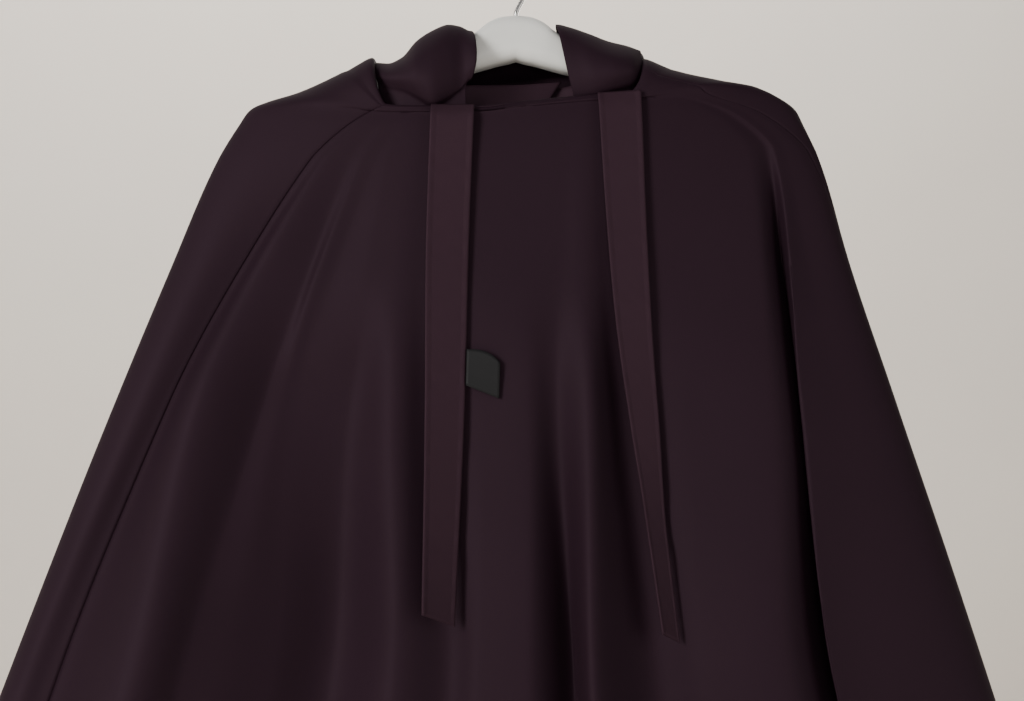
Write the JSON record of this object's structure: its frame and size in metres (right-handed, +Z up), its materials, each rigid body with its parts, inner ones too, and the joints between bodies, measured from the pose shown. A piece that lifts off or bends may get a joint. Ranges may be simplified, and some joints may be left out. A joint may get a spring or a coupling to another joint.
{
  "type": "khimar veil on a coat hanger",
  "caption": "Long dark hooded khimar veil with raglan side gores and two flat ties, hung on a broad white coat hanger with a wire hook.",
  "frame": {"origin": "inside crown of the hanger's hook, where the veil hangs", "axes": "+Z up, -Y the front of the veil, +X to the right as seen from the front"},
  "size_m": [1.151, 0.3129, 1.143],
  "materials": {
    "cape_cloth": "dark aubergine crepe with a satin sheen",
    "tie_cloth": "the same cloth, seen a little lighter",
    "label_cloth": "charcoal satin ribbon, bare",
    "hanger_white": "smooth white",
    "hook_wire": "bright wire"
  },
  "bodies": {
    "root": {"front_panel": "cape_cloth", "right_side_panel": "cape_cloth", "back_panel": "cape_cloth", "left_side_panel": "cape_cloth", "hood": "cape_cloth", "left_inner_band": "tie_cloth", "right_inner_band": "tie_cloth", "left_tie": "tie_cloth", "right_tie": "tie_cloth", "label": "label_cloth", "hanger": "hanger_white", "hanger_hook": "hook_wire"}
  },
  "joints": []
}
